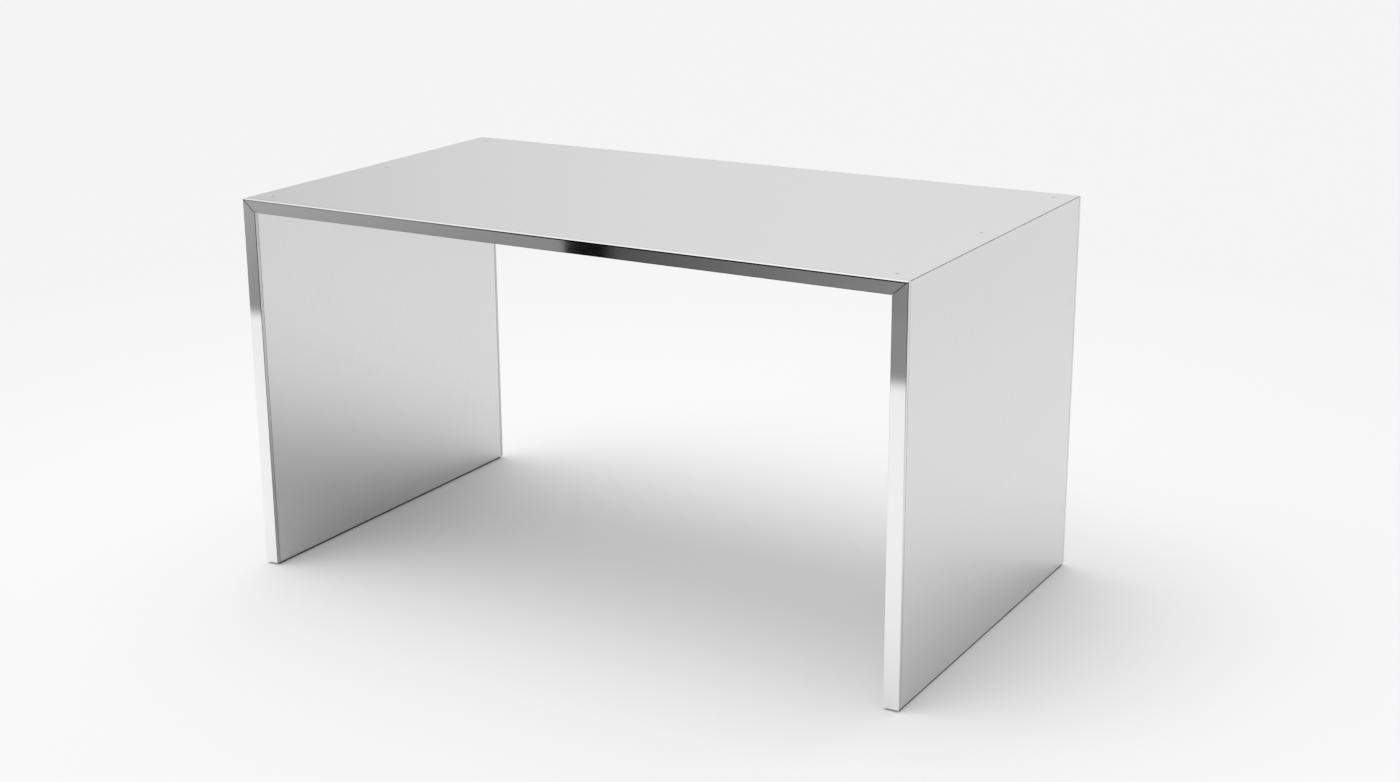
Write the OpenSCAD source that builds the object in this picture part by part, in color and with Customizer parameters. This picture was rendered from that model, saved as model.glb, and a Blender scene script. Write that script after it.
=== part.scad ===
// Waterfall table: a thin top panel and two side panels in stainless sheet, closed front and
// rear by polished bars that are mitred at the upper corners. Folded channels hold the skins
// apart, a bolted angle joins each corner, and screw-in feet stand inside the base rails.
// +X is the width, the front faces -Y, +Z is up, and the origin is on the floor at the centre.
// Millimetres.

/* [Overall] */
// Width across the outer faces of the side panels
table_w = 1400; // [1000:10:2000]
// Depth from the front edge to the rear edge
table_d = 785; // [500:5:1000]
// Height from the floor to the top surface
table_h = 750; // [600:5:900]

/* [Panels] */
// Thickness of each side panel
side_t = 29; // [28:0.5:40]
// Thickness of the top panel
top_t = 25.5; // [24:0.5:40]
// Thickness of the sheet skins
skin_t = 1.5; // [1:0.1:2]
// Gap between the floor and the lower edge of the side panels
base_gap = 4.5; // [2.5:0.5:8]
// Width of the open hairline at the seams
seam = 0.8; // [0.2:0.1:1]

/* [Edge bars] */
// Depth of the polished bars, front to back
bar_d = 8; // [5:0.5:12]
// Chamfer along the front edges of the bars and along their mitres
bar_chamfer = 1; // [0.2:0.1:1.5]

/* [Folded channels] */
// Sheet thickness of the channels
channel_t = 1.5; // [1:0.5:2.5]
// Flange of the channels behind the edge bars
edge_flange = 18; // [12:1:24]
// Flange of the ribs that cross a panel
rib_flange = 30; // [20:1:50]
// Ribs under the top
top_rib_count = 5; // [3:1:9]
// Ribs in each side panel
side_rib_count = 2; // [1:1:4]

/* [Corner joint] */
// Thickness of the corner angle
angle_t = 4; // [3:0.5:6]
// Each leg of the corner angle
angle_leg = 60; // [54:1:90]
// Depth of the angle's upper face under the top surface
angle_drop = 10; // [9:0.5:11]
// Distance from a side's outer face to its row of screws
screw_inset = 40; // [40:1:44]
// Distance from the front and rear edges to the end screws
screw_end = 42; // [40:1:80]
// Radius of the flush countersunk heads
screw_head_r = 6.7; // [6:0.1:6.7]
// Radius of the screw shank
screw_r = 3; // [2.5:0.5:3]

/* [Base rail and feet] */
// Height of the rail's lower edge above the floor
rail_z = 1; // [1:0.25:2]
// Height of the rail's section
rail_h = 16; // [16:1:24]
// Wall of the rail
rail_t = 3; // [2:0.5:3]
// Distance from the front and rear edges to the feet
foot_end = 60; // [45:5:120]
// Radius of a foot's pad
pad_r = 9; // [8:0.25:9.5]
// Height of a foot's pad
pad_h = 7; // [7:0.5:7.5]
// Radius of a foot's threaded stud
stud_r = 4; // [3:0.5:4]
// Height of a stud's upper end above the floor
stud_top = 46; // [44:1:60]

/* [Hidden] */
$fn = 64;
x_out = table_w / 2;
x_in = x_out - side_t;
y_front = -table_d / 2;
y_back = table_d / 2;
z_under = table_h - top_t;
// the skins lie between the bars, the channels behind them
skin_y0 = y_front + bar_d + seam;
skin_y1 = -skin_y0;
channel_y0 = y_front + bar_d;
// the ribs and the corner angles run between the flanges of the edge channels
rib_y0 = channel_y0 + edge_flange;
rib_y1 = -rib_y0;
rail_top = rail_z + rail_h;
angle_z1 = table_h - angle_drop;
angle_z0 = angle_z1 - angle_t;
screw_x = x_out - screw_inset;
screw_rows = [y_front + screw_end, 0, y_back - screw_end];
screw_len = 21;
head_h = screw_head_r - screw_r;
socket_r = 2.3;
socket_depth = 2.2;
hole_play = 0.3;
cone_play = 0.1;
thread_play = 0.05;
sleeve_r = 9;
nut_r = 5.8;
nut_h = 5;
foot_x = x_out - side_t / 2;
foot_y = table_d / 2 - foot_end;
bush_r = 8;
bush_h = 16;
pilot_r = 6;
pilot_play = 0.05;
roof_z = rail_top - rail_t;
// the pad holds the stud's round head between its floor and a lip
pad_floor = 2;
pad_lip = 1;
pad_chamfer = 1;
swivel_r = 6;
swivel_play = 0.05;
lip_play = 0.1;
hex_r = 7.5;
hex_h = 5;
hex_play = 0.1;
stud_tip = 1;

// ---- prisms along each axis, from an outline in the plane across it ----

// outline in X and Z
module y_prism(outline, y0, y1) {
    translate([0, y1, 0]) rotate([90, 0, 0]) linear_extrude(height = y1 - y0) polygon(outline);
}

// outline in Y and Z
module x_prism(outline, x0, x1) {
    translate([x0, 0, 0]) rotate([90, 0, 90]) linear_extrude(height = x1 - x0) polygon(outline);
}

// outline in X and Y
module z_prism(outline, z0, z1) {
    translate([0, 0, z0]) linear_extrude(height = z1 - z0) polygon(outline);
}

function swapped(points) = [for (p = points) [p[1], p[0]]];

// a folded channel: its web stands at a0, its flanges reach to a0 + flange (flange may be negative)
function channel_outline(a0, flange, b0, b1) =
    let (web = sign(flange) * channel_t)
    [
        [a0, b0], [a0 + flange, b0], [a0 + flange, b0 + channel_t], [a0 + web, b0 + channel_t],
        [a0 + web, b1 - channel_t], [a0 + flange, b1 - channel_t], [a0 + flange, b1], [a0, b1]
    ];

// a bar's section: depth in the first coordinate, with both front edges chamfered
function bar_section(b0, b1) =
    let (c = bar_chamfer, y1 = y_front + bar_d)
    [[y_front, b0 + c], [y_front + c, b0], [y1, b0], [y1, b1], [y_front + c, b1], [y_front, b1 - c]];

module on_left() {
    mirror([1, 0, 0]) children();
}

module at_rear() {
    mirror([0, 1, 0]) children();
}

module front_and_rear() {
    children();
    at_rear() children();
}

// ---- top panel ----

module screw_cone(play) {
    translate([0, 0, table_h - head_h])
        cylinder(h = head_h, r1 = screw_r + play, r2 = screw_head_r + play);
}

module at_screws() {
    for (y = screw_rows) {
        translate([screw_x, y, 0]) children();
    }
}

module top_skin() {
    x_edge = x_out - seam;
    outline = [
        [-x_edge, table_h], [x_edge, table_h],
        [x_edge - skin_t, table_h - skin_t], [-x_edge + skin_t, table_h - skin_t]
    ];
    color("gainsboro") difference() {
        y_prism(outline, skin_y0, skin_y1);
        at_screws() screw_cone(cone_play);
        on_left() at_screws() screw_cone(cone_play);
    }
}

module top_under_skin() {
    reach = x_in + skin_t;
    color("silver") translate([-reach, skin_y0, z_under]) cube([2 * reach, skin_y1 - skin_y0, skin_t]);
}

module top_edge_channels() {
    reach = x_in + skin_t;
    outline = channel_outline(channel_y0, edge_flange, z_under + skin_t, table_h - skin_t);
    color("slategray") front_and_rear() x_prism(outline, -reach, reach);
}

module top_ribs() {
    // evenly between the two corner angles
    span = 2 * (x_out - angle_leg);
    pitch = span / (top_rib_count + 1);
    color("slategray") for (i = [1 : top_rib_count]) {
        x0 = -span / 2 + i * pitch - rib_flange / 2;
        y_prism(channel_outline(x0, rib_flange, z_under + skin_t, table_h - skin_t), rib_y0, rib_y1);
    }
}

// ---- mitred edge bars ----

// a square bar set on its edge along the mitre line, which cuts a chamfer on both sides of it
module mitre_groove() {
    run = norm([side_t, top_t]);
    side = bar_chamfer * sqrt(2);
    translate([x_in + side_t / 2, y_front, z_under + top_t / 2])
        rotate([0, -atan2(top_t, side_t), 0])
            rotate([45, 0, 0])
                cube([run * 2, side, side], center = true);
}

module top_bar() {
    gap = seam / 2;
    outline = [
        [-x_out + gap, table_h], [x_out - gap, table_h],
        [x_in - gap, z_under], [-x_in + gap, z_under]
    ];
    color("whitesmoke") difference() {
        intersection() {
            y_prism(outline, y_front, y_front + bar_d);
            x_prism(bar_section(z_under, table_h), -x_out, x_out);
        }
        mitre_groove();
        on_left() mitre_groove();
    }
}

module side_bar() {
    outline = [[x_out, table_h], [x_in, z_under], [x_in, base_gap], [x_out, base_gap]];
    color("whitesmoke") difference() {
        intersection() {
            y_prism(outline, y_front, y_front + bar_d);
            z_prism(swapped(bar_section(x_in, x_out)), base_gap, table_h);
        }
        mitre_groove();
    }
}

// ---- side panels ----

module outer_skin() {
    z_edge = table_h - seam;
    outline = [
        [x_out, base_gap], [x_out, z_edge],
        [x_out - skin_t, z_edge - skin_t], [x_out - skin_t, base_gap]
    ];
    color("gainsboro") y_prism(outline, skin_y0, skin_y1);
}

module inner_skin() {
    color("silver") translate([x_in, skin_y0, base_gap])
        cube([skin_t, skin_y1 - skin_y0, z_under - base_gap]);
}

module side_edge_channels() {
    outline = swapped(channel_outline(channel_y0, edge_flange, x_in + skin_t, x_out - skin_t));
    color("slategray") front_and_rear() z_prism(outline, rail_top, table_h - skin_t);
}

module side_ribs() {
    // evenly between the base rail and the corner angle
    z_top = angle_z1 - angle_leg;
    pitch = (z_top - rail_top) / (side_rib_count + 1);
    color("slategray") for (i = [1 : side_rib_count]) {
        z0 = rail_top + i * pitch - rib_flange / 2;
        outline = swapped(channel_outline(z0, rib_flange, x_in + skin_t, x_out - skin_t));
        y_prism(outline, rib_y0, rib_y1);
    }
}

// ---- corner joint: the angle stands in the side panel and reaches into the top ----

module corner_angle() {
    x1 = x_out - skin_t;
    x0 = x1 - angle_leg;
    z0 = angle_z1 - angle_leg;
    outline = [
        [x1, angle_z1], [x0, angle_z1], [x0, angle_z0],
        [x1 - angle_t, angle_z0], [x1 - angle_t, z0], [x1, z0]
    ];
    color("darkgray") difference() {
        y_prism(outline, rib_y0, rib_y1);
        at_screws() translate([0, 0, angle_z0 - 1]) cylinder(h = angle_t + 2, r = screw_r + hole_play);
    }
}

module top_screws() {
    color("lightgray") at_screws() difference() {
        union() {
            screw_cone(0);
            translate([0, 0, table_h - screw_len]) cylinder(h = screw_len - head_h, r = screw_r);
        }
        translate([0, 0, table_h - socket_depth]) cylinder(h = socket_depth + 1, r = socket_r, $fn = 6);
    }
}

// the sleeves carry the countersunk heads on the angle
module screw_sleeves() {
    color("darkgray") at_screws() difference() {
        translate([0, 0, angle_z1]) cylinder(h = angle_drop - skin_t, r = sleeve_r);
        translate([0, 0, angle_z1 - 1]) cylinder(h = angle_drop, r = screw_r + hole_play);
        screw_cone(cone_play);
    }
}

module weld_nuts() {
    color("darkgray") at_screws() difference() {
        translate([0, 0, angle_z0 - nut_h]) cylinder(h = nut_h, r = nut_r, $fn = 6);
        translate([0, 0, angle_z0 - nut_h - 1]) cylinder(h = nut_h + 2, r = screw_r + thread_play);
    }
}

// ---- base rail: a channel open downwards, with the feet inside it ----

module at_feet() {
    for (y = [-foot_y, foot_y]) {
        translate([foot_x, y, 0]) children();
    }
}

module base_rail() {
    a0 = x_in + skin_t;
    a1 = x_out - skin_t;
    outline = [
        [a0, rail_z], [a0 + rail_t, rail_z], [a0 + rail_t, roof_z], [a1 - rail_t, roof_z],
        [a1 - rail_t, rail_z], [a1, rail_z], [a1, rail_top], [a0, rail_top]
    ];
    color("#202224") difference() {
        y_prism(outline, channel_y0, -channel_y0);
        at_feet() translate([0, 0, roof_z - 1]) cylinder(h = rail_t + 2, r = pilot_r + pilot_play);
    }
}

module foot_bushes() {
    color("darkgray") at_feet() difference() {
        union() {
            translate([0, 0, roof_z]) cylinder(h = rail_t, r = pilot_r);
            translate([0, 0, rail_top]) cylinder(h = bush_h, r = bush_r);
        }
        translate([0, 0, roof_z - 1]) cylinder(h = rail_t + bush_h + 2, r = stud_r + thread_play);
    }
}

// ---- feet ----

module foot_pad() {
    cavity_h = pad_h - pad_floor - pad_lip;
    color("#2a2b2d") difference() {
        union() {
            cylinder(h = pad_chamfer, r1 = pad_r - pad_chamfer, r2 = pad_r);
            translate([0, 0, pad_chamfer]) cylinder(h = pad_h - pad_chamfer, r = pad_r);
        }
        translate([0, 0, pad_floor]) cylinder(h = cavity_h, r = swivel_r + swivel_play);
        translate([0, 0, pad_h - pad_lip - 1]) cylinder(h = pad_lip + 2, r = stud_r + lip_play);
    }
}

module foot_stud() {
    head_z0 = pad_floor + swivel_play;
    head_z1 = pad_h - pad_lip - swivel_play;
    hex_z1 = roof_z - hex_play;
    color("lightsteelblue") {
        union() {
            translate([0, 0, head_z0]) cylinder(h = head_z1 - head_z0, r = swivel_r);
            translate([0, 0, head_z0]) cylinder(h = stud_top - stud_tip - head_z0, r = stud_r);
            translate([0, 0, hex_z1 - hex_h]) cylinder(h = hex_h, r = hex_r, $fn = 6);
            translate([0, 0, stud_top - stud_tip]) cylinder(h = stud_tip, r1 = stud_r, r2 = stud_r - stud_tip);
        }
    }
}

// side is -1 for left and 1 for right, end is -1 for front and 1 for rear
module at_foot(side, end) {
    translate([side * foot_x, end * foot_y, 0]) children();
}

top_skin();
top_under_skin();
top_edge_channels();
top_ribs();
top_bar();  // top_front_bar
at_rear() top_bar();  // top_rear_bar
on_left() outer_skin();  // left_outer_skin
on_left() inner_skin();  // left_inner_skin
on_left() side_edge_channels();  // left_edge_channels
on_left() side_ribs();  // left_ribs
on_left() side_bar();  // left_front_bar
on_left() at_rear() side_bar();  // left_rear_bar
outer_skin();  // right_outer_skin
inner_skin();  // right_inner_skin
side_edge_channels();  // right_edge_channels
side_ribs();  // right_ribs
side_bar();  // right_front_bar
at_rear() side_bar();  // right_rear_bar
on_left() corner_angle();  // left_corner_angle
corner_angle();  // right_corner_angle
on_left() top_screws();  // left_top_screws
top_screws();  // right_top_screws
on_left() screw_sleeves();  // left_screw_sleeves
screw_sleeves();  // right_screw_sleeves
on_left() weld_nuts();  // left_weld_nuts
weld_nuts();  // right_weld_nuts
on_left() base_rail();  // left_base_rail
base_rail();  // right_base_rail
on_left() foot_bushes();  // left_foot_bushes
foot_bushes();  // right_foot_bushes
at_foot(-1, -1) foot_pad();  // foot_pad_front_left
at_foot(1, -1) foot_pad();  // foot_pad_front_right
at_foot(-1, 1) foot_pad();  // foot_pad_rear_left
at_foot(1, 1) foot_pad();  // foot_pad_rear_right
at_foot(-1, -1) foot_stud();  // foot_stud_front_left
at_foot(1, -1) foot_stud();  // foot_stud_front_right
at_foot(-1, 1) foot_stud();  // foot_stud_rear_left
at_foot(1, 1) foot_stud();  // foot_stud_rear_right
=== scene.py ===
"""Waterfall table in satin and polished stainless steel, in a plain studio. Metres, +Z up, front at -Y."""

import math

import bpy
from mathutils import Matrix, Vector

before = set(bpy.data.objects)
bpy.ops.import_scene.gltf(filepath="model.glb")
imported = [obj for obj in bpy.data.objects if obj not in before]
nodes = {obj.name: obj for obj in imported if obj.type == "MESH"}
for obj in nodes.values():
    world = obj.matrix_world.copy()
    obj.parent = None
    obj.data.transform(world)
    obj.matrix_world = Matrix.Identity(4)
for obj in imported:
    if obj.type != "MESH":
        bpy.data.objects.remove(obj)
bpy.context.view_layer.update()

# ---------------------------------------------------------------- camera

CAMERA_AT = Vector((2.0175, -3.3249, 1.5349))
CAMERA_TURN = 31.01  # degrees that the camera looks left of +Y
CAMERA_DIP = 16.21  # degrees that it looks down
CAMERA_ROLL = -0.53  # degrees anticlockwise
SENSOR_WIDTH = 36.0  # mm
LENS = 53.16  # mm
SHIFT = (0.0219, -0.0146)  # of the picture's width


def towards(azimuth, height):
    """Unit vector at an azimuth from +Y towards +X and a height above level, in degrees."""
    azimuth, height = math.radians(azimuth), math.radians(height)
    flat = math.cos(height)
    return Vector((math.sin(azimuth) * flat, math.cos(azimuth) * flat, math.sin(height)))


def make_camera():
    roll = math.radians(CAMERA_ROLL)
    ahead = towards(-CAMERA_TURN, -CAMERA_DIP)
    level_right = towards(90 - CAMERA_TURN, 0)
    level_up = level_right.cross(ahead)
    right = level_right * math.cos(roll) + level_up * math.sin(roll)
    up = right.cross(ahead)
    data = bpy.data.cameras.new("camera")
    data.sensor_width = SENSOR_WIDTH
    data.lens = LENS
    data.shift_x, data.shift_y = SHIFT
    camera = bpy.data.objects.new("camera", data)
    turned = Matrix((right, up, -ahead)).transposed().to_4x4()
    camera.matrix_world = Matrix.Translation(CAMERA_AT) @ turned
    bpy.context.scene.collection.objects.link(camera)
    bpy.context.scene.camera = camera


# ---------------------------------------------------------------- node helpers

NOISE_RANGE = (0.25, 0.75)  # where nearly all of a noise texture's values lie


class Nodes:
    """Short ways to add nodes to a node tree."""

    def __init__(self, tree):
        self.tree = tree

    def node(self, kind, **settings):
        made = self.tree.nodes.new(kind)
        for key, value in settings.items():
            setattr(made, key, value)
        return made

    def feed(self, socket, value):
        """Link the socket to what another node gives, or set it to a plain value."""
        if isinstance(value, bpy.types.NodeSocket):
            self.tree.links.new(value, socket)
        else:
            socket.default_value = value

    def math(self, operation, *values):
        made = self.node("ShaderNodeMath", operation=operation)
        for socket, value in zip(made.inputs, values):
            self.feed(socket, value)
        return made.outputs["Value"]

    def xyz(self, vector):
        """The three parts of a vector."""
        parts = self.node("ShaderNodeSeparateXYZ")
        self.feed(parts.inputs["Vector"], vector)
        return parts.outputs

    def dot(self, vector, direction):
        product = self.node("ShaderNodeVectorMath", operation="DOT_PRODUCT")
        self.feed(product.inputs[0], vector)
        self.feed(product.inputs[1], direction)
        return product.outputs["Value"]

    def rescale(self, value, old, new, smooth=False):
        """The value, with the old low and high turned into the new ones, and held there beyond them."""
        kind = "SMOOTHSTEP" if smooth else "LINEAR"
        made = self.node("ShaderNodeMapRange", interpolation_type=kind)
        sockets = ("Value", "From Min", "From Max", "To Min", "To Max")
        for socket, given in zip(sockets, (value, *old, *new)):
            self.feed(made.inputs[socket], given)
        return made.outputs["Result"]

    def blend(self, share, first, second, kind="RGBA"):
        """From the first colour or vector to the second as the share goes from 0 to 1."""
        mix = self.node("ShaderNodeMix", data_type=kind)
        self.feed(mix.inputs["Factor"], share)
        self.feed(mix.inputs["A"], first)
        self.feed(mix.inputs["B"], second)
        return mix.outputs["Result"]


class Shader(Nodes):
    """A new material with a Principled shader."""

    def __init__(self, name, colour, metallic, roughness):
        self.material = bpy.data.materials.new(name)
        self.material.use_nodes = True
        super().__init__(self.material.node_tree)
        self.out = self.tree.nodes["Principled BSDF"].inputs
        self.out["Base Color"].default_value = (*colour, 1)
        self.out["Metallic"].default_value = metallic
        self.out["Roughness"].default_value = roughness
        coordinates = self.node("ShaderNodeTexCoord").outputs
        self.place, self.normal = coordinates["Object"], coordinates["Normal"]

    def noise(self, scale, detail=2, offset=(0, 0, 0)):
        """Noise that runs from about 0.25 to 0.75, with a scale along each axis in waves per metre."""
        mapping = self.node("ShaderNodeMapping")
        mapping.inputs["Scale"].default_value = scale
        mapping.inputs["Location"].default_value = offset
        self.feed(mapping.inputs["Vector"], self.place)
        noise = self.node("ShaderNodeTexNoise")
        noise.inputs["Scale"].default_value = 1
        noise.inputs["Detail"].default_value = detail
        self.feed(noise.inputs["Vector"], mapping.outputs["Vector"])
        return noise.outputs["Fac"]

    def spread(self, noise, low, high):
        """Noise stretched to run from low to high."""
        return self.rescale(noise, NOISE_RANGE, (low, high))

    def roughen(self, value):
        self.feed(self.out["Roughness"], value)

    def colour(self, value):
        self.feed(self.out["Base Color"], value)

    def level(self, value):
        """Base colour that is a grey of varying level."""
        combined = self.node("ShaderNodeCombineColor")
        for channel in ("Red", "Green", "Blue"):
            self.feed(combined.inputs[channel], value)
        self.colour(combined.outputs["Color"])

    def tint(self, noise, dark, light):
        """Base colour from dark to light by noise."""
        self.colour(self.blend(self.spread(noise, 0, 1), (*dark, 1), (*light, 1)))

    def bump(self, height, depth, strength=1.0, normal=None):
        """Relief of that depth in metres, on the mesh's own normal or on another."""
        bump = self.node("ShaderNodeBump")
        bump.inputs["Strength"].default_value = strength
        bump.inputs["Distance"].default_value = depth
        self.feed(bump.inputs["Height"], height)
        if normal:
            self.feed(bump.inputs["Normal"], normal)
        self.feed(self.out["Normal"], bump.outputs["Normal"])


def grey(level):
    return (level, level, level)


def opaque(level):
    """A grey with the fourth part that a colour socket has."""
    return (level, level, level, 1)


# ---------------------------------------------------------------- materials

ALONG_X, ALONG_Z = 0, 2
FACE_ON = 0.9  # a normal with more than this along an axis faces along it
CHAMFER_SLANTS = (0.35, 0.85)  # the front part of a chamfer's normal lies between these

SATIN_SPREAD = 0.02  # of the roughness, from the grain
BAND_SPREAD = 0.003
SMUDGE_SPREAD = 0.012
BAND_TINT = 0.004  # of the level
SEAM_PAINTED_SHADE_LEVEL = 0.06  # of a sheet's cut edge, painted near black as painted shade down in a seam

POLISHED_LEVEL = 0.86
POLISHED_ROUGHNESS = (0.03, 0.065)
BAR_SIDE_ROUGHNESS = 0.28
PAINTED_BROW_HEIGHT = 0.7464  # height above which the front face of the top's bars is painted dark like its chamfers, as a painted reflection line

# the painted level of a bar's chamfers, a painted reflection: an axis, two places along it and the levels
# there
TOP_CHAMFER_PAINTED_REFLECTION = (ALONG_X, (-0.3, -0.05), (0.6, 0.06))
LEFT_CHAMFER_PAINTED_REFLECTION = (ALONG_Z, (0, 0.75), (0.12, 0.12))
RIGHT_CHAMFER_PAINTED_REFLECTION = (ALONG_Z, (0.3, 0.72), (0.8, 0.02))
# the level of a bar's satin sides, towards the knee space and outwards; the inner one is painted darker,
# as painted shade
BAR_SIDE_INNER_PAINTED_SHADE, BAR_SIDE_OUTER = 0.44, 0.62


def grain_scale(axis, along, across):
    """Waves per metre along and across a brushing direction."""
    return tuple(along if i == axis else across for i in range(3))


def satin_steel(name, axis, faces, level, roughness):
    """Stainless sheet with a fine grain brushed along one axis, faint bands in it, and slight smudges.

    faces is the axis that the sheet's two faces point along. Its cut edges are painted near black, as
    painted shade in the seams.
    """
    shader = Shader(name, grey(level), 1.0, roughness)
    grain = shader.noise(grain_scale(axis, 14, 3400))
    bands = shader.noise(grain_scale(axis, 1.5, 260), detail=3)
    smudges = shader.noise(grey(3.1), detail=4, offset=(4, 2, 7))
    grained = shader.spread(grain, roughness - SATIN_SPREAD, roughness + SATIN_SPREAD)
    banded = shader.spread(bands, -BAND_SPREAD, BAND_SPREAD)
    smudged = shader.spread(smudges, -SMUDGE_SPREAD, SMUDGE_SPREAD)
    shader.roughen(shader.math("ADD", grained, shader.math("ADD", banded, smudged)))
    face = shader.blend(
        shader.spread(bands, 0, 1), opaque(level * (1 - BAND_TINT)), opaque(level * (1 + BAND_TINT))
    )
    # painted shade: the sheet's cut edges, down in the seams, are painted near black
    edge = shader.math("LESS_THAN", shader.math("ABSOLUTE", shader.xyz(shader.normal)[faces]), 0.5)
    shader.colour(shader.blend(edge, face, opaque(SEAM_PAINTED_SHADE_LEVEL)))
    shader.bump(grain, depth=0.000001, strength=0.5)
    return shader.material


def polished_steel(name, axis, painted_reflection_levels, sides=None, lit_above=0.6):
    """Mirror-polished bar, with the faint waviness and hairlines that polishing leaves along it.

    Its fine chamfers are shaded with the front's normal, so they mirror what the front mirrors, and are
    painted darker as a painted reflection.
    painted_reflection_levels gives their painted level along the bar. Those whose normals rise above
    lit_above stay as they are.
    A strip along the top of the front face, above PAINTED_BROW_HEIGHT, gets the same painted dark
    reflection.
    sides has the levels of the satin sides that face -X and +X, if the bar has such sides; the one towards
    the knee space is painted darker, as painted shade.
    """
    shader = Shader(name, grey(POLISHED_LEVEL), 1.0, sum(POLISHED_ROUGHNESS) / 2)
    hairlines = shader.noise(grain_scale(axis, 6, 900))
    waviness = shader.noise(grain_scale(axis, 5, 40), detail=1)
    facing, where = shader.xyz(shader.normal), shader.xyz(shader.place)

    to_front = shader.math("ABSOLUTE", facing["Y"])
    middle, reach = sum(CHAMFER_SLANTS) / 2, (CHAMFER_SLANTS[1] - CHAMFER_SLANTS[0]) / 2
    chamfer = shader.math("COMPARE", to_front, middle, reach)
    painted_chamfer = shader.math("MULTIPLY", chamfer, shader.math("LESS_THAN", facing["Z"], lit_above))
    face_on = shader.math("GREATER_THAN", to_front, FACE_ON)
    painted_brow = shader.math("MULTIPLY", face_on, shader.math("GREATER_THAN", where["Z"], PAINTED_BROW_HEIGHT))
    # painted reflection: the lower chamfers and the brow strip take a darker painted level that changes
    # along the bar
    dark = shader.math("MAXIMUM", painted_chamfer, painted_brow)
    run, places, levels = painted_reflection_levels
    level = shader.rescale(where[run], places, levels)
    look = shader.blend(dark, opaque(POLISHED_LEVEL), level)
    rough = shader.spread(hairlines, *POLISHED_ROUGHNESS)
    if sides:
        # painted shade: the side towards the knee space gets the darker of the two levels
        side = shader.math("GREATER_THAN", shader.math("ABSOLUTE", facing["X"]), FACE_ON)
        look = shader.blend(side, look, shader.rescale(facing["X"], (-1, 1), sides))
        rough = shader.math("MAXIMUM", rough, shader.math("MULTIPLY", side, BAR_SIDE_ROUGHNESS))
    shader.colour(look)
    shader.roughen(rough)

    front = shader.node("ShaderNodeCombineXYZ")
    shader.feed(front.inputs["Y"], shader.math("SIGN", facing["Y"]))
    turned = shader.blend(dark, shader.normal, front.outputs["Vector"], kind="VECTOR")
    to_world = shader.node(
        "ShaderNodeVectorTransform", vector_type="NORMAL", convert_from="OBJECT", convert_to="WORLD"
    )
    shader.feed(to_world.inputs["Vector"], turned)
    shader.bump(waviness, depth=0.00002, strength=0.5, normal=to_world.outputs["Vector"])
    return shader.material


def screw_steel():
    """Turned and blasted stainless."""
    shader = Shader("screw_steel", grey(0.62), 1.0, 0.32)
    grain = shader.noise(grey(2200))
    shader.roughen(shader.spread(grain, 0.27, 0.38))
    shader.bump(grain, depth=0.00001, strength=0.6)
    return shader.material


def black_coating():
    """Matt powder coat with fine orange peel."""
    shader = Shader("black_coating", (0.018, 0.018, 0.02), 0.0, 0.6)
    peel = shader.noise(grey(900), detail=3)
    dust = shader.noise(grey(35), detail=4)
    shader.roughen(shader.spread(dust, 0.52, 0.68))
    shader.tint(dust, (0.014, 0.014, 0.015), (0.026, 0.026, 0.028))
    shader.bump(peel, depth=0.00003)
    return shader.material


def black_nylon():
    """Moulded nylon with a fine spark-eroded texture."""
    shader = Shader("black_nylon", (0.022, 0.022, 0.024), 0.0, 0.45)
    texture = shader.noise(grey(2600))
    scuffs = shader.noise(grey(160), detail=4)
    shader.roughen(shader.spread(scuffs, 0.38, 0.55))
    shader.tint(scuffs, (0.018, 0.018, 0.02), (0.034, 0.034, 0.036))
    shader.bump(texture, depth=0.00002)
    return shader.material


def galvanised_steel():
    """Folded sheet with the spangle of hot-dip zinc."""
    shader = Shader("galvanised_steel", grey(0.4), 1.0, 0.45)
    spangle = shader.node("ShaderNodeTexVoronoi")
    spangle.inputs["Scale"].default_value = 160
    shader.feed(spangle.inputs["Vector"], shader.place)
    tone = shader.node("ShaderNodeSeparateColor")
    shader.feed(tone.inputs["Color"], spangle.outputs["Color"])
    shader.colour(shader.blend(tone.outputs["Red"], (0.3, 0.31, 0.32, 1), (0.48, 0.49, 0.5, 1)))
    shader.roughen(shader.spread(tone.outputs["Green"], 0.38, 0.5))
    return shader.material


def plain_steel():
    """Mill-finish bar and turned parts."""
    shader = Shader("plain_steel", grey(0.34), 1.0, 0.42)
    scale = shader.noise(grey(120), detail=5)
    shader.tint(scale, (0.28, 0.28, 0.29), (0.4, 0.4, 0.41))
    shader.roughen(shader.spread(scale, 0.36, 0.52))
    shader.bump(scale, depth=0.00004)
    return shader.material


def zinc_steel():
    """Bright zinc plating on a stud."""
    shader = Shader("zinc_steel", (0.62, 0.64, 0.67), 1.0, 0.24)
    haze = shader.noise(grey(240), detail=4)
    shader.tint(haze, (0.56, 0.58, 0.62), (0.66, 0.67, 0.69))
    shader.roughen(shader.spread(haze, 0.18, 0.34))
    return shader.material


def dress(material, *names):
    for name in names:
        slots = nodes[name].data.materials
        slots.clear()
        slots.append(material)


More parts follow.
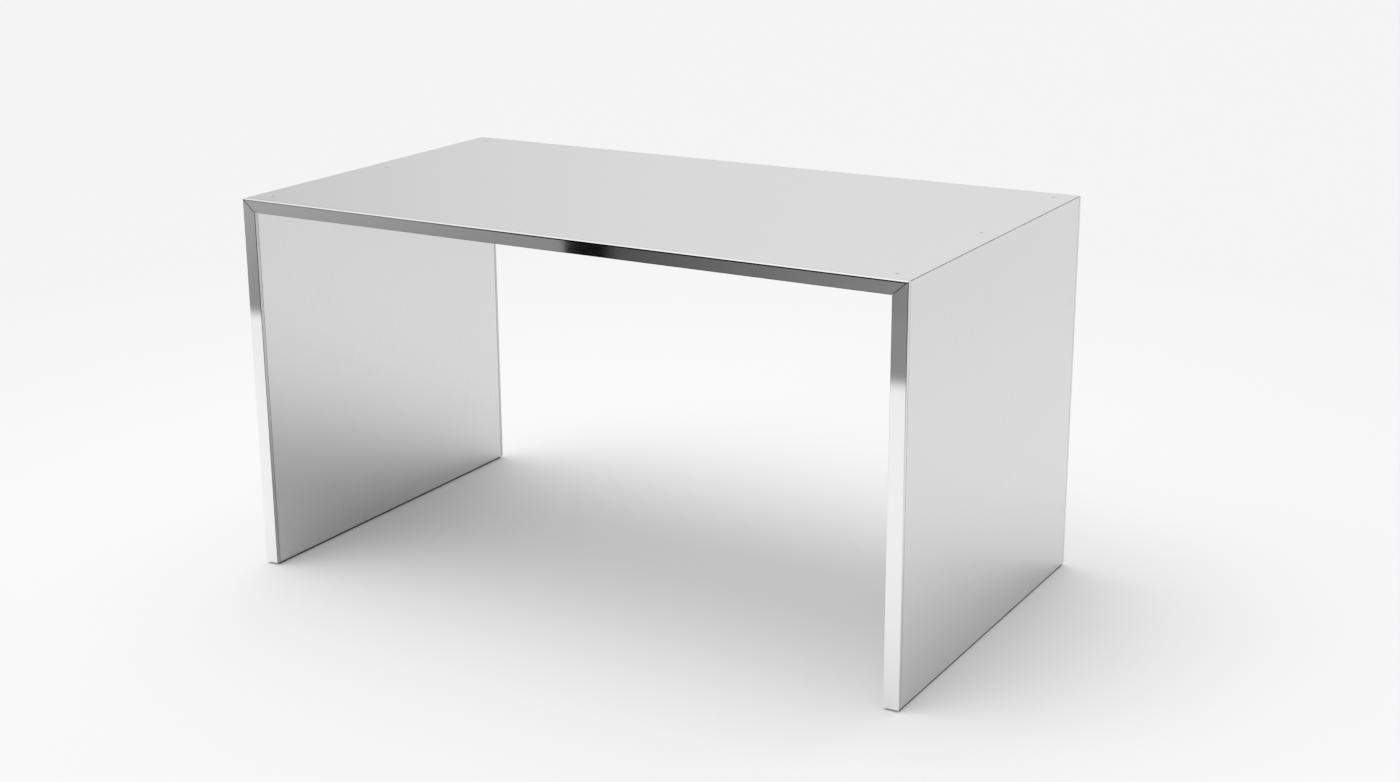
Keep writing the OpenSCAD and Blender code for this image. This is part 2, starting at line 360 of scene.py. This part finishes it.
def dress_all():
    satin_top = satin_steel("satin_top", ALONG_X, ALONG_Z, level=0.652, roughness=0.3)
    satin_side = satin_steel("satin_side", ALONG_Z, ALONG_X, level=0.62, roughness=0.26)
    dress(satin_top, "top_skin", "top_under_skin")
    dress(polished_steel("polished_top", ALONG_X, TOP_CHAMFER_PAINTED_REFLECTION), "top_front_bar", "top_rear_bar")
    # the left bars face the knee space with their +X sides, and the right ones with their -X sides
    left_bar = polished_steel("polished_left", ALONG_Z, LEFT_CHAMFER_PAINTED_REFLECTION, (BAR_SIDE_OUTER, BAR_SIDE_INNER_PAINTED_SHADE))
    right_bar = polished_steel(
        "polished_right", ALONG_Z, RIGHT_CHAMFER_PAINTED_REFLECTION, (BAR_SIDE_INNER_PAINTED_SHADE, BAR_SIDE_OUTER), lit_above=0.3
    )
    screws, coating, nylon = screw_steel(), black_coating(), black_nylon()
    galvanised, plain, zinc = galvanised_steel(), plain_steel(), zinc_steel()
    dress(galvanised, "top_ribs")
    dress(coating, "top_edge_channels")
    for side, bar in (("left", left_bar), ("right", right_bar)):
        dress(satin_side, f"{side}_outer_skin", f"{side}_inner_skin")
        dress(bar, f"{side}_front_bar", f"{side}_rear_bar")
        dress(screws, f"{side}_top_screws")
        dress(coating, f"{side}_base_rail", f"{side}_edge_channels")
        dress(galvanised, f"{side}_ribs")
        for part in ("corner_angle", "screw_sleeves", "weld_nuts", "foot_bushes"):
            dress(plain, f"{side}_{part}")
        for end in ("front", "rear"):
            dress(nylon, f"foot_pad_{end}_{side}")
            dress(zinc, f"foot_stud_{end}_{side}")


# ---------------------------------------------------------------- studio

FLOOR_REACH = 30.0
FLOOR_ROUGHNESS = 0.9
FLOOR_SPECULAR = 0.1
FLOOR_PAINTED_FALLOFF_LEVELS = (0.787, 0.715)  # at these two distances from the table's centre: painted falloff of the light, darker away from the table
FLOOR_DISTANCES = (1.2, 3.0)

# A grey card lies on the floor from this far in front of the table's centre, beyond a line that is
# turned a little from X. Its level changes between two places along X, and the polished bars mirror it.
CARD_FRONT = 2.15
CARD_TURN = 7.4  # degrees
CARD_FADE = 0.16  # over which it comes in from the near floor's level
CARD_HEIGHT = 0.001
CARD_LEVELS = (0.23, 0.15)
CARD_PLACES = (-3.2, -2.0)

# A low dark card stands behind it, at this Y and between two places along X.
FLAG_AT = -2.75
FLAG_HEIGHT = 0.5
FLAG_PLACES = (-1.545, -0.35)
FLAG_STOPS = ((0.12, 0.004), (0.17, 0.07), (1.0, 0.207))  # part of the way along it, and its level there

SKY_STRENGTH = 0.43
SKY_LEAST = 0.2  # what is left of it at the darkest place
# azimuth from +Y towards +X and height, in degrees, and strength, which is negative for a dark flag
SOFT_BOXES = [
    (0, 90, 0.6), (315, 45, 0.72), (225, 10, 0.85), (0, 10, 0.42),
    (270, 10, -0.4), (315, 10, -0.4), (135, 10, -0.37), (90, 45, -0.4),
]
SOFT_BOX_REACH = 60  # degrees from its middle to where it fades out
# name, direction it shines from, width in degrees, strength
LAMPS = [("key", (-0.4, -0.15, 1.0), 55, 0.86), ("fill", (0, 0, 1), 80, 0.935)]

# the picture's tone curve lifts the middle greys and rolls off towards white
TONE_BEND = 0.9
TONE_WHITE = 0.92  # what the curve makes of 1
TONE_POINTS = 6


def add_mesh(name, corners, material):
    """One stage face from its corners."""
    mesh = bpy.data.meshes.new(name)
    mesh.from_pydata(corners, [], [tuple(range(len(corners)))])
    mesh.materials.append(material)
    made = bpy.data.objects.new(name, mesh)
    bpy.context.scene.collection.objects.link(made)
    return made


def only_mirrored(card):
    """Leave a card to be seen in the metal's reflections only."""
    card.visible_camera = False
    card.visible_shadow = False
    card.visible_diffuse = False


def make_floor():
    """A pale floor, painted a little darker away from the table as painted falloff of the light."""
    shader = Shader("floor", grey(FLOOR_PAINTED_FALLOFF_LEVELS[0]), 0.0, FLOOR_ROUGHNESS)
    shader.out["Specular IOR Level"].default_value = FLOOR_SPECULAR
    distance = shader.node("ShaderNodeVectorMath", operation="LENGTH")
    shader.feed(distance.inputs[0], shader.place)
    # painted falloff of the light: the floor's level drops with distance from the table
    shader.level(shader.rescale(distance.outputs["Value"], FLOOR_DISTANCES, FLOOR_PAINTED_FALLOFF_LEVELS))
    r = FLOOR_REACH
    add_mesh("floor", [(-r, -r, 0), (r, -r, 0), (r, r, 0), (-r, r, 0)], shader.material)


def make_card():
    """The grey card in front of the table, with a soft near edge."""
    shader = Shader("card", grey(CARD_LEVELS[0]), 0.0, FLOOR_ROUGHNESS)
    shader.out["Specular IOR Level"].default_value = FLOOR_SPECULAR
    level = shader.rescale(shader.xyz(shader.place)["X"], CARD_PLACES, CARD_LEVELS)
    near, far = CARD_FRONT - CARD_FADE / 2, CARD_FRONT + CARD_FADE / 2
    forward = towards(180 + CARD_TURN, 0)
    distance = shader.dot(shader.place, forward)
    shader.level(shader.rescale(distance, (near, far), (FLOOR_PAINTED_FALLOFF_LEVELS[0], level), smooth=True))
    r, turn = FLOOR_REACH, math.radians(CARD_TURN)
    left, right = (-(near + x * math.sin(turn)) / math.cos(turn) for x in (-r, r))
    corners = [(-r, left), (-r, -r), (r, -r), (r, right)]
    only_mirrored(add_mesh("card", [(x, y, CARD_HEIGHT) for x, y in corners], shader.material))


def make_flag():
    """The low card that stands in front of the table, black at one end and fading to grey."""
    shader = Shader("flag", grey(FLAG_STOPS[-1][1]), 0.0, 1.0)
    shader.out["Specular IOR Level"].default_value = 0.0
    ramp = shader.node("ShaderNodeValToRGB")
    shader.feed(ramp.inputs["Fac"], shader.rescale(shader.xyz(shader.place)["X"], FLAG_PLACES, (0, 1)))
    shader.colour(ramp.outputs["Color"])
    first, *between, last = FLAG_STOPS
    stops = ramp.color_ramp.elements
    stops[0].position, stops[1].position = first[0], last[0]
    stops[0].color, stops[1].color = opaque(first[1]), opaque(last[1])
    for position, level in between:
        stops.new(position).color = opaque(level)
    left, right = FLAG_PLACES
    corners = [(left, 0), (right, 0), (right, FLAG_HEIGHT), (left, FLAG_HEIGHT)]
    only_mirrored(add_mesh("flag", [(x, FLAG_AT, z) for x, z in corners], shader.material))


def make_world():
    """An even sky with wide soft boxes added to it, and dark flags taken from it."""
    world = bpy.data.worlds.new("studio")
    world.use_nodes = True
    bpy.context.scene.world = world
    sky = Nodes(world.node_tree)
    direction = sky.node("ShaderNodeTexCoord").outputs["Generated"]
    edge = math.cos(math.radians(SOFT_BOX_REACH))
    total = SKY_STRENGTH
    for azimuth, height, strength in SOFT_BOXES:
        closeness = sky.dot(direction, towards(azimuth, height))
        total = sky.math("ADD", total, sky.rescale(closeness, (edge, 1), (0, strength), smooth=True))
    background = sky.tree.nodes["Background"].inputs
    background["Color"].default_value = opaque(1)
    sky.feed(background["Strength"], sky.math("MAXIMUM", total, SKY_LEAST))


def make_lamps():
    """Very wide, soft lamps from above, which the metal doesn't mirror."""
    for name, shines_from, width, strength in LAMPS:
        data = bpy.data.lights.new(name, "SUN")
        data.angle = math.radians(width)
        data.energy = strength
        lamp = bpy.data.objects.new(name, data)
        lamp.rotation_mode = "QUATERNION"
        lamp.rotation_quaternion = (-Vector(shines_from)).to_track_quat("-Z", "Y")
        lamp.visible_glossy = False
        bpy.context.scene.collection.objects.link(lamp)


def set_tone(view):
    """Display through a soft shoulder in place of a straight line that clips."""

    def tone(x):
        return TONE_WHITE * (1 - math.exp(-TONE_BEND * x)) / (1 - math.exp(-TONE_BEND))

    view.view_transform = "Standard"
    view.use_curve_mapping = True
    mapping = view.curve_mapping
    mapping.extend = "EXTRAPOLATED"
    mapping.use_clip = False
    combined = mapping.curves[3].points
    places = [i / (TONE_POINTS - 1) for i in range(1, TONE_POINTS + 1)]
    combined[1].location = (places[-1], tone(places[-1]))
    for x in places[:-1]:
        combined.new(x, tone(x))
    mapping.update()


def make_studio():
    make_floor()
    make_card()
    make_flag()
    make_world()
    make_lamps()
    scene = bpy.context.scene
    scene.cycles.caustics_reflective = True
    set_tone(scene.view_settings)


make_camera()
dress_all()
make_studio()
